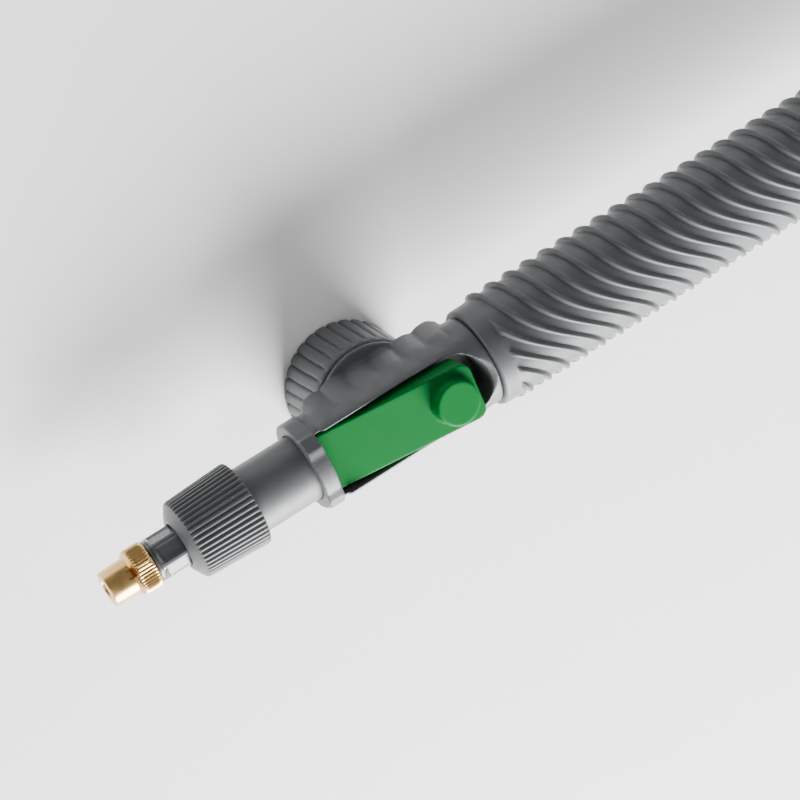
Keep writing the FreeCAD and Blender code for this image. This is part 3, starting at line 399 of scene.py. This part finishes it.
# ---- pieces --------------------------------------------------------------------------------
class SPRAYER_OT_grip(bpy.types.Operator):
    """Pump grip with wavy ribs, mirrored at a line along it"""
    bl_idname = "sprayer.grip"
    bl_label = "Grip sleeve"

    def execute(self, context):
        s = context.scene.sprayer_sizes
        low, high = LOW["grip_sleeve"], HIGH["grip_sleeve"]
        front, rear = low.x, high.x
        ribs_front, ribs_rear = front + s.collar, rear - s.tail
        crest = (high.y - low.y) / 2
        valley = crest - s.rib_height
        bore = (HIGH["pump_barrel"].y - LOW["pump_barrel"].y) / 2 + SEAT
        collar_r = valley - s.collar_step
        cuts = [-1.25, -0.87, -0.75, -0.4, 0.05, 0.5, 0.9, 1.18, 1.4, 1.8]   # mm from a crest
        crown, flank = 2.4, 0.75                # how flat a rib's top is, and how steep its side
        crowd_front, crowd_rear = 1.6, 1.3      # how the rings crowd together at the plain ends
        run_in = 8 * MM                         # how far before the ribs the first ring lies
        strip_end = 1.7 * s.rib_gap             # where a rib beside the plain strip is whole

        def height(u):
            offset = (u - s.rib_first + s.rib_pitch / 2) % s.rib_pitch - s.rib_pitch / 2
            share = offset / (s.rib_rear if offset > 0 else -s.rib_front)
            return s.rib_height * (1 - share ** crown) ** flank if share < 1 else 0.0

        def lean(across):
            bend = math.tanh((across - s.rib_middle) / s.rib_bend)
            return s.rib_lean * (s.rib_line - across) - s.rib_sweep * (bend - bend_at_line)

        bend_at_line = math.tanh((s.rib_line - s.rib_middle) / s.rib_bend)
        start = ribs_front - lean(s.rib_line - math.pi) - run_in
        count = math.ceil((ribs_rear - start) / s.rib_pitch) + 3
        first = s.rib_first - s.rib_pitch * math.ceil((s.rib_first - start) / s.rib_pitch)
        rings = [first + s.rib_pitch * i + cut * MM for i in range(count) for cut in cuts]
        inside = [(rings[-1], bore), (rings[0], bore)]
        bm = turned(inside + [(u, valley) for u in rings], s.grip_steps, hollow=True)

        def move(u, turn, radius):
            if radius < bore + NEAR:
                return (front if u < (rings[0] + rings[-1]) / 2 else rear), radius
            from_line = abs(math.remainder(turn - s.rib_line, 2 * math.pi))
            run = lean(s.rib_line - from_line)
            x = u + run
            if x < ribs_front:
                share = max(0.0, u - rings[0]) / (ribs_front - rings[0] - run)
                x = front + (ribs_front - front) * share ** crowd_front
                back = max(0.0, 1 - (x - front) / s.collar_edge)
                return x, collar_r - s.collar_edge * (1 - math.sqrt(1 - back ** 2))
            if x > ribs_rear:
                share = max(0.0, rings[-1] - u) / (rings[-1] + run - ribs_rear)
                x = rear - (rear - ribs_rear) * share ** crowd_rear
                return x, collar_r
            fade = ease(0, s.rib_start, x - ribs_front) * ease(0, s.rib_start, ribs_rear - x)
            fade *= ease(s.rib_gap, strip_end, math.pi - from_line)
            return x, collar_r + (valley - collar_r + height(u)) * fade

        reshape(bm, move)
        piece("grip", bm, SPRAY, ["grip_sleeve"], "grip", "grey_plastic", smooth=60.0)
        return {"FINISHED"}


class SPRAYER_OT_housing(bpy.types.Operator):
    """Moulded housing with its finger columns, trigger pocket and swivel disc"""
    bl_idname = "sprayer.housing"
    bl_label = "Housing"

    def execute(self, context):
        voxel = context.scene.sprayer_sizes.voxel
        piece("body_shell", remoulded("housing", voxel, rounds=2), Matrix(), ["housing"],
              "housing", "grey_plastic", smooth=180.0)
        return {"FINISHED"}


class SPRAYER_OT_lever(bpy.types.Operator):
    """Thumb lever with its round thumb boss"""
    bl_idname = "sprayer.lever"
    bl_label = "Trigger lever"

    def execute(self, context):
        voxel = context.scene.sprayer_sizes.lever_voxel
        piece("thumb_lever", remoulded("trigger_lever", voxel, rounds=3), Matrix(),
              ["trigger_lever"], "trigger", "green_plastic", smooth=180.0)
        return {"FINISHED"}


class SPRAYER_OT_cap(bpy.types.Operator):
    """Ribbed bottle cap with its helical thread"""
    bl_idname = "sprayer.cap"
    bl_label = "Bottle cap"

    def execute(self, context):
        s = context.scene.sprayer_sizes
        height, mouth_r = HIGH["bottle_cap"].z, HIGH["bottle_cap"].x
        top_r = mouth_r - s.cap_taper
        mount = next(m for m in frame["record"]["mounts"] if m["name"] == "bottle_thread")
        thread_r, thread_l = mount["dims"]["r_mm"] * MM, mount["dims"]["length_mm"] * MM
        hole_r = HIGH["bottle_spigot"].x - s.cap_ledge
        relief_r = thread_r + s.cap_relief
        roof, edge = height - s.cap_roof, s.cap_edge
        side_rings, thread_rings, faces_of_rib = 12, 44, 8
        profile = outline(0, mouth_r, (0, 0), (0.35, 0))
        profile += [(height * i / side_rings, mouth_r - s.cap_taper * i / side_rings)
                    for i in range(1, side_rings - 1)]
        profile += [(height - edge, top_r), (height - edge * 0.3, top_r - edge * 0.3),
                    (height, top_r - edge), (height, hole_r), (roof, hole_r), (roof, relief_r),
                    (thread_l, relief_r)]
        profile += [(thread_l * (1 - i / thread_rings), thread_r) for i in range(thread_rings)]
        profile += outline(0, thread_r, (0, 0.3))
        bm = turned(profile, s.cap_ribs * faces_of_rib, hollow=True)
        thread_top, rib_top = thread_l * 0.99, height - edge * 0.5
        run_in, run_out = 1.2 * MM, 0.8 * MM    # lengths over which the thread starts and ends
        land, full = 0.12, 0.30                 # shares of the pitch: the crest, the whole depth
        floor, crest = 0.04, 0.17               # shares of a rib: its groove's floor, its crest

        def move(z, turn, radius):
            if abs(radius - thread_r) < SAME and 0 < z < thread_top:
                phase = (z / s.thread_pitch - turn / (2 * math.pi)) % 1.0
                groove = ease(land, full, phase) * ease(land, full, 1 - phase)
                ends = ease(0, run_in, z) * ease(0, run_out, thread_l - z)
                return z, radius + s.thread_depth * groove * ends
            if radius > top_r - 0.9 * edge and z < rib_top:
                phase = (turn * s.cap_ribs / (2 * math.pi)) % 1.0
                groove = 1 - ease(floor, crest, min(phase, 1 - phase))
                ends = ease(height - edge * 0.2, height - edge * 2.2, z)
                return z, radius - s.cap_groove * groove * ends
            return z, radius

        reshape(bm, move)
        piece("ribbed_cap", bm, BOTTLE, ["bottle_cap"], "cap", "grey_plastic", smooth=45.0)
        return {"FINISHED"}


class SPRAYER_OT_nut(bpy.types.Operator):
    """Collar nut with fine ribs and a round shoulder"""
    bl_idname = "sprayer.nut"
    bl_label = "Collar nut"

    def execute(self, context):
        s = context.scene.sprayer_sizes
        front, rear = LOW["collar_nut"].x, HIGH["collar_nut"].x
        rear_r = HIGH["collar_nut"].y
        shoulder_r = rear_r - s.nut_taper
        shoulder, roof = front + s.nut_shoulder, front + s.nut_roof
        hole_r = HIGH["collar_washer"].y - s.nut_ledge
        bore_r = HIGH["front_tube"].y + FIT
        side_rings, faces_of_rib = 14, 8
        lip = 0.8 * MM                          # plain rear end
        side_l = rear - lip - shoulder
        profile = outline(front, s.nut_nose, (0, -0.4), (0.15, 0), (1.0, 1.5))
        profile += outline(front, shoulder_r, (1.75, -0.75), (2.0, -0.35), (2.4, -0.1))
        profile += [(shoulder + side_l * i / side_rings, shoulder_r + s.nut_taper * i / side_rings)
                    for i in range(side_rings + 1)]
        profile += outline(rear, rear_r, (-0.25, -0.15), (0, -0.6))
        profile += [(rear, bore_r), (roof, bore_r), (roof, hole_r), (front, hole_r)]
        bm = turned(profile, s.nut_ribs * faces_of_rib, hollow=True)
        inside = shoulder_r - 0.8 * MM
        ribs_start, ribs_whole = front + 1.7 * MM, front + 2.5 * MM
        ribs_end, ribs_fade = rear + 0.1 * MM, rear - 0.5 * MM
        floor, crest = 0.06, 0.34               # shares of a rib: its groove's floor, its crest

        def move(x, turn, radius):
            if radius < inside:
                return x, radius
            phase = (turn * s.nut_ribs / (2 * math.pi)) % 1.0
            groove = 1 - ease(floor, crest, min(phase, 1 - phase))
            ends = ease(ribs_start, ribs_whole, x) * ease(ribs_end, ribs_fade, x)
            return x, radius - s.nut_rib_depth * groove * ends

        reshape(bm, move)
        piece("ribbed_nut", bm, SPRAY, ["collar_nut"], "nut", "grey_plastic", smooth=50.0)
        return {"FINISHED"}


class SPRAYER_OT_nozzle(bpy.types.Operator):
    """Brass nozzle cap with a straight knurl and a fine orifice"""
    bl_idname = "sprayer.nozzle"
    bl_label = "Nozzle cap"

    def execute(self, context):
        s = context.scene.sprayer_sizes
        front, rear = LOW["nozzle_cap"].x, HIGH["nozzle_cap"].x
        knurl_r = HIGH["nozzle_cap"].y
        tip_r, edge = s.tip_radius, s.tip_edge
        ring = front + s.tip_length
        knurl_front, knurl_rings, faces_of_tooth = ring + 1.0 * MM, 10, 6
        knurl_l = rear - knurl_front - edge
        slot_cuts = (1.5, 1.25, 1.1, 0.7, 0.3, 0.1)     # mm before the ring
        profile = outline(front, s.orifice, (0.45, 0))
        profile += outline(front, s.dish, (0.45, 0), (0, 0.15))
        profile += [(front, tip_r - edge * 1.6), (front + edge * 0.4, tip_r - edge * 0.7),
                    (front + edge, tip_r - edge * 0.4), (front + 3 * MM, tip_r - edge * 0.2)]
        profile += outline(ring, tip_r, *((-cut, 0) for cut in slot_cuts), (0, 0.3), (0.1, 0.5))
        profile += [(knurl_front + knurl_l * i / knurl_rings, knurl_r)
                    for i in range(knurl_rings + 1)]
        profile += [(rear - edge * 0.4, knurl_r - edge * 0.3), (rear, knurl_r - edge),
                    (rear, s.nozzle_bore)]
        profile += outline(front, s.nozzle_bore, (3.4, 0)) + outline(front, s.orifice, (1.8, 0))
        bm = turned(profile, s.knurl_count * faces_of_tooth, hollow=True)
        slot_front, slot_rear = ring - 1.2 * MM, ring + 0.2 * MM
        slot_wall = s.slot_half * 0.85

        def move(x, turn, radius):
            if slot_front < x < slot_rear and radius > tip_r - NEAR:
                away = abs(math.remainder(turn - s.slot_turn, math.pi))
                return x, radius - s.slot_depth * (1 - ease(slot_wall, s.slot_half, away))
            if radius < knurl_r - NEAR:
                return x, radius
            phase = (turn * s.knurl_count / (2 * math.pi)) % 1.0
            groove = 1 - 2 * abs(phase - 0.5)
            ends = ease(knurl_front - 0.1 * MM, knurl_front + 0.6 * MM, x)
            ends *= ease(rear - edge * 0.9, rear - edge * 2, x)
            return x, radius - s.knurl_depth * groove * ends

        reshape(bm, move)
        piece("brass_nozzle", bm, SPRAY, ["nozzle_cap"], "nozzle", "brass", smooth=35.0)
        return {"FINISHED"}


class SPRAYER_OT_stem(bpy.types.Operator):
    """Dark stem with ribs along it, between the nut and the nozzle"""
    bl_idname = "sprayer.stem"
    bl_label = "Nozzle stem"

    def execute(self, context):
        s = context.scene.sprayer_sizes
        tip, rear = LOW["nozzle_stem"].x, HIGH["nozzle_stem"].x
        nozzle_gap = 0.05 * MM
        front = HIGH["nozzle_cap"].x + nozzle_gap
        stem_r, flange_r = s.stem_radius, HIGH["nozzle_stem"].y
        nut = LOW["collar_nut"].x + 1 * MM      # the ribs end inside the nut
        flange_l, flange_rear = 2.3 * MM, LOW["stem_gasket"].x
        ring = front + 1.6 * MM
        ribs_front, rib_rings, faces_of_rib = ring + 0.15 * MM, 14, 24
        profile = outline(tip, s.stem_bore, (0, 0.35)) + outline(tip, s.stem_tip, (0, -0.3), (0.3, 0))
        profile += [(front, s.stem_tip)]
        profile += outline(front, stem_r, (0, -0.3), (0.15, -0.05), (0.6, -0.05), (0.7, -0.3),
                           (0.9, -0.3), (1.0, -0.05))
        profile += [(ribs_front + (nut - ribs_front) * i / rib_rings, stem_r)
                    for i in range(rib_rings + 1)]
        profile += [(flange_rear - flange_l, stem_r), (flange_rear - flange_l, flange_r),
                    (flange_rear, flange_r), (flange_rear, s.stem_tail), (rear, s.stem_tail),
                    (rear, s.stem_bore)]
        bm = turned(profile, s.stem_ribs * faces_of_rib, hollow=True)
        ramp_front, ramp_rear = ring - 0.02 * MM, ring + 0.5 * MM
        flat_end, rib_wall = 0.33, 0.40         # shares of a rib's pitch, from a flat's middle

        def move(x, turn, radius):
            if abs(radius - stem_r) > SAME or x > nut + NEAR:
                return x, radius
            share = (turn * s.stem_ribs / (2 * math.pi)) % 1.0 - 0.5
            flat = min(stem_r, s.stem_core / math.cos(share * 2 * math.pi / s.stem_ribs))
            panel = 1 - ease(flat_end, rib_wall, abs(share))
            return x, radius - (stem_r - flat) * panel * ease(ramp_front, ramp_rear, x)

        reshape(bm, move)
        piece("ribbed_stem", bm, SPRAY, ["nozzle_stem"], "housing", "dark_plastic")
        return {"FINISHED"}


class SPRAYER_OT_tubes(bpy.types.Operator):
    """Front tube, pump tube and end cap"""
    bl_idname = "sprayer.tubes"
    bl_label = "Tubes and end cap"

    def execute(self, context):
        steps, bore_r, nose_bore_r, nose_l = 96, 5 * MM, 3 * MM, 17 * MM
        front, rear = LOW["front_tube"].x, HIGH["front_tube"].x
        tube_r = HIGH["front_tube"].y
        bm = turned([(front, nose_bore_r), (front, tube_r), (LOW["housing"].x, tube_r),
                     (rear, tube_r), (rear, bore_r), (front + nose_l, bore_r),
                     (front + nose_l, nose_bore_r)], steps, hollow=True)
        soften(bm, 0.25 * MM)
        piece("outlet_tube", bm, SPRAY, ["front_tube"], "housing", "grey_plastic")

        front, rear = LOW["pump_tube"].x, HIGH["pump_tube"].x
        tube_r = HIGH["pump_tube"].y
        bm = turned([(front, bore_r), (front, tube_r), (rear, tube_r), (rear, bore_r)], steps,
                    hollow=True)
        soften(bm, 0.2 * MM)
        piece("sliding_tube", bm, SPRAY, ["pump_tube"], "housing", "tube_plastic")

        low, high = LOW["end_cap"], HIGH["end_cap"]
        face, cap_r = HIGH["pump_barrel"].x, high.y
        groove_front, groove_rear = LOW["end_cap_seal"].x - SEAT, HIGH["end_cap_seal"].x + SEAT
        plug_r = 9.98 * MM
        groove_r = plug_r - 1.48 * MM
        bm = turned([(low.x, 0.0), (low.x, plug_r), (groove_front, plug_r),
                     (groove_front, groove_r), (groove_rear, groove_r), (groove_rear, plug_r),
                     (face, plug_r), (face, cap_r)]
                    + outline(high.x, cap_r, (-1.8, 0), (0, -2.8))
                    + outline(high.x, 0, (0, 9), (-0.7, 8), (-0.7, 0)), 120)
        soften(bm, 0.6 * MM, segments=4)
        piece("rear_cap", bm, SPRAY, ["end_cap"], "grip", "grey_plastic")
        return {"FINISHED"}


class SPRAYER_OT_inner_finish(bpy.types.Operator):
    """Gives every inner piece that keeps its own shape its real finish"""
    bl_idname = "sprayer.inner_finish"
    bl_label = "Inner pieces"

    def execute(self, context):
        slots = {s["node"]: s["material_slot"] for s in frame["record"]["subparts"]}
        for name, node in frame["nodes"].items():
            finish = material_of(FINISH_OF_SLOT[slots[name]])
            for material_slot in node.material_slots:
                material_slot.material = finish
        return {"FINISHED"}


# ---- stage ---------------------------------------------------------------------------------
# The camera looks down on the front of the object, with the grip's end out of view.
CAMERA_AT = Vector((-0.1661, 0.2753, 0.5741))
CAMERA_RIGHT = Vector((0.8172, -0.3717, 0.4405))
CAMERA_UP = Vector((0.5106, 0.8213, -0.2543))
CAMERA_LENS = 111.4
LIGHTS = (                          # name, place, size and watts of each soft light
    ("key", (0.0, -1.15, 0.55), 1.1, 110.0),
    ("fill", (-0.9, -0.2, 0.9), 0.9, 4.0),
    ("rear", (0.9, 0.3, 0.6), 0.6, 2.0),
)
BACKDROP_STRENGTH = 0.3
FLOOR_HALF = 4.0                    # half the floor's side, in metres


class SPRAYER_OT_stage(bpy.types.Operator):
    """Camera, pale floor and soft studio light"""
    bl_idname = "sprayer.stage"
    bl_label = "Stage"

    def execute(self, context):
        view = bpy.data.cameras.new("view")
        view.lens = CAMERA_LENS
        view.sensor_width = 36
        view.clip_end = 50
        camera = bpy.data.objects.new("view", view)
        context.scene.collection.objects.link(camera)
        right = CAMERA_RIGHT.normalized()
        back = right.cross(CAMERA_UP).normalized()
        up = back.cross(right)
        turn = Matrix((right, up, back)).transposed().to_4x4()
        camera.matrix_world = Matrix.Translation(CAMERA_AT) @ turn
        context.scene.camera = camera
        self.floor(context)
        for name, place, size, power in LIGHTS:
            self.light(context, name, place, size, power)
        world = bpy.data.worlds.new("studio")
        world.use_nodes = True
        backdrop = world.node_tree.nodes["Background"]
        backdrop.inputs["Color"].default_value = (1, 1, 1, 1)
        backdrop.inputs["Strength"].default_value = BACKDROP_STRENGTH
        context.scene.world = world
        return {"FINISHED"}

    def floor(self, context):
        bm = bmesh.new()
        bmesh.ops.create_grid(bm, x_segments=1, y_segments=1, size=FLOOR_HALF)
        mesh = bpy.data.meshes.new("floor")
        bm.to_mesh(mesh)
        bm.free()
        mesh.transform(Matrix.Translation((0, 0, CAD_BOX[0].z - FIT)))
        floor = bpy.data.objects.new("floor", mesh)
        context.scene.collection.objects.link(floor)
        material, tree, place = new_material("painted_floor")
        dust = add(tree, "ShaderNodeTexNoise", {"Scale": per(60)}, {"Vector": place})
        gloss = add(tree, "ShaderNodeMapRange", {"To Min": 0.7, "To Max": 0.85},
                    {"Value": dust.outputs["Fac"]})
        hue = linear(context.scene.sprayer_colours.floor)
        shader = add(tree, "ShaderNodeBsdfPrincipled", {"Base Color": hue},
                     {"Roughness": gloss.outputs["Result"]})
        finish_material(tree, shader)
        mesh.materials.append(material)

    def light(self, context, name, place, size, power):
        lamp = bpy.data.lights.new(name, "AREA")
        lamp.shape = "DISK"
        lamp.size = size
        lamp.energy = power
        holder = bpy.data.objects.new(name, lamp)
        context.scene.collection.objects.link(holder)
        holder.location = place
        holder.rotation_mode = "QUATERNION"
        holder.rotation_quaternion = Vector(place).to_track_quat("Z", "Y")


class SPRAYER_PT_panel(bpy.types.Panel):
    """Lists the sprayer's operators, sizes and colours"""
    bl_label = "Sprayer head"
    bl_idname = "SPRAYER_PT_panel"
    bl_space_type = "VIEW_3D"
    bl_region_type = "UI"
    bl_category = "Sprayer"

    def draw(self, context):
        for operator in OPERATORS:
            self.layout.operator(operator.bl_idname)
        for group in (context.scene.sprayer_sizes, context.scene.sprayer_colours):
            box = self.layout.box()
            for key in group.__annotations__:
                box.prop(group, key)


OPERATORS = (SPRAYER_OT_stage, SPRAYER_OT_inner_finish, SPRAYER_OT_grip, SPRAYER_OT_housing,
             SPRAYER_OT_lever, SPRAYER_OT_cap, SPRAYER_OT_nut, SPRAYER_OT_nozzle,
             SPRAYER_OT_stem, SPRAYER_OT_tubes)
CLASSES = (SprayerSizes, SprayerColours) + OPERATORS + (SPRAYER_PT_panel,)


def register():
    for cls in CLASSES:
        bpy.utils.register_class(cls)
    bpy.types.Scene.sprayer_sizes = PointerProperty(type=SprayerSizes)
    bpy.types.Scene.sprayer_colours = PointerProperty(type=SprayerColours)


def unregister():
    del bpy.types.Scene.sprayer_colours
    del bpy.types.Scene.sprayer_sizes
    for cls in reversed(CLASSES):
        bpy.utils.unregister_class(cls)


def main():
    register()
    for operator in OPERATORS:      # bpy.ops.sprayer.stage(), and so on
        group, action = operator.bl_idname.split(".")
        getattr(getattr(bpy.ops, group), action)()


if __name__ == "__main__":
    main()
